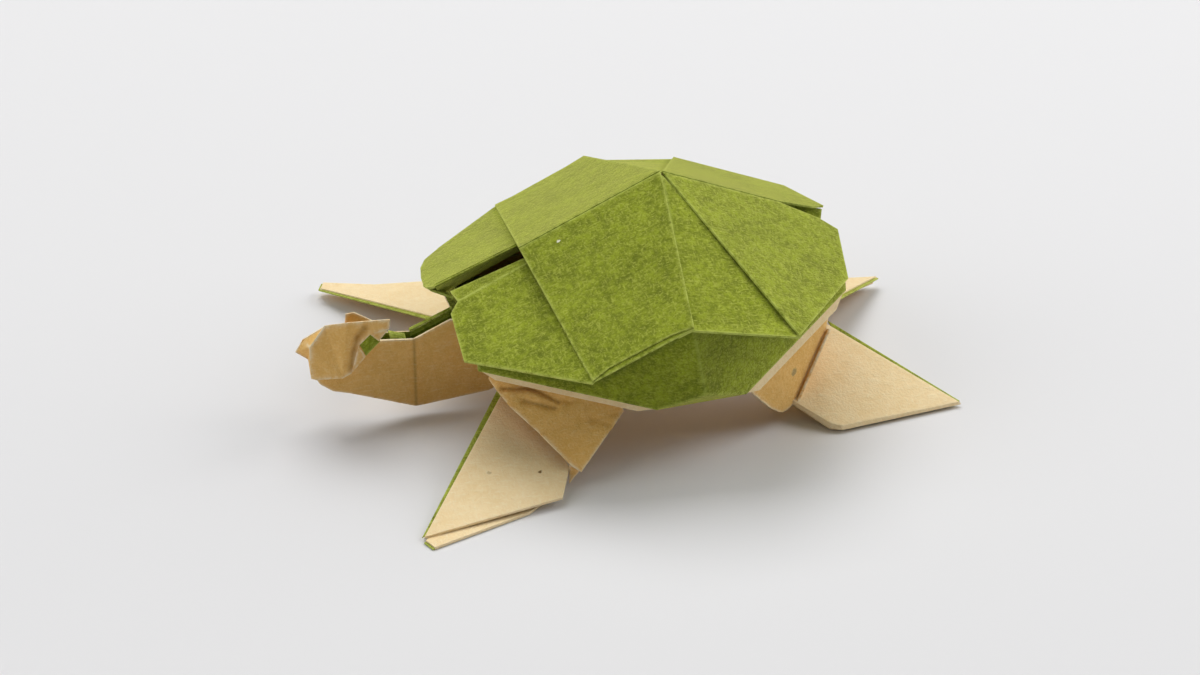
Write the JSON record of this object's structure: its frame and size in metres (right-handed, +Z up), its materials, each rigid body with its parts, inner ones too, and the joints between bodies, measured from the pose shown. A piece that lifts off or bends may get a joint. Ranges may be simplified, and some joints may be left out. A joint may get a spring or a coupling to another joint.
{
  "type": "origami turtle",
  "caption": "Turtle folded from one square of two-tone paper: green faceted shell, kraft neck, hooded head and splayed flippers, standing on its flippers as an ornament.",
  "frame": {"origin": "centre of the bounding box on the surface the turtle stands on", "axes": "+X towards the head, +Y towards the turtle's left, +Z up"},
  "size_m": [0.091, 0.0676, 0.0335],
  "materials": {
    "green_paper": "matte, fibrous",
    "kraft_paper": "matte, fibrous"
  },
  "bodies": {
    "root": {"origami_turtle": "green_paper"}
  },
  "joints": []
}
